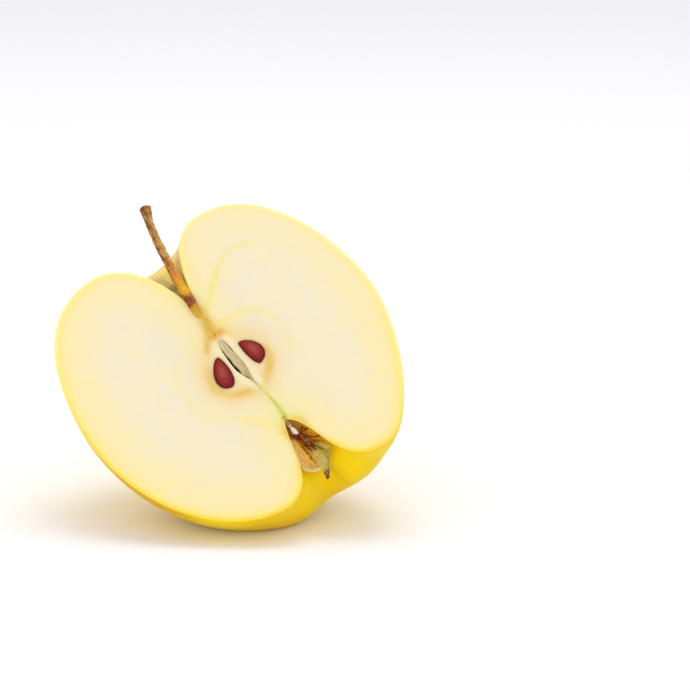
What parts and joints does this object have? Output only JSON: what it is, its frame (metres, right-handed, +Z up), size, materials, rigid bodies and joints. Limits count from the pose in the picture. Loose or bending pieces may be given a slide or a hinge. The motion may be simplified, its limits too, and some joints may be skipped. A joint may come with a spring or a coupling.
{
  "type": "apple half",
  "caption": "Half of a golden yellow apple, cut lengthwise through the core, with its stem, seeds and dry calyx, leaning back on a small flat spot.",
  "frame": {"origin": "on the flat spot that the half rests on, straight below the middle of its core", "axes": "+Z up. The cut face looks towards -Y and leans back; +X is to the right of someone who looks at the cut face. The stem points up and to the left."},
  "size_m": [0.0851, 0.0651, 0.0742],
  "materials": {
    "flesh_and_skin": "moist cream flesh under a thin waxy yellow skin",
    "dry_stem": "dry, mottled brown, yellow towards its base",
    "seed_coat": "smooth, dark red brown, slightly glossy",
    "papery_core": "parchment, beige, faintly ribbed",
    "dry_style": "dry, pale and downy",
    "dry_stamens": "dry, dark red brown threads",
    "dry_sepal": "dry, beige, downy",
    "green_sepal": "olive green, downy, brown at the tip"
  },
  "bodies": {
    "root": {"flesh": "flesh_and_skin", "stem": "dry_stem", "seed_left": "seed_coat", "seed_right": "seed_coat", "core_wall": "papery_core", "style": "dry_style", "stamens": "dry_stamens", "sepal_left": "dry_sepal", "sepal_middle": "green_sepal", "sepal_right": "green_sepal"}
  },
  "joints": []
}
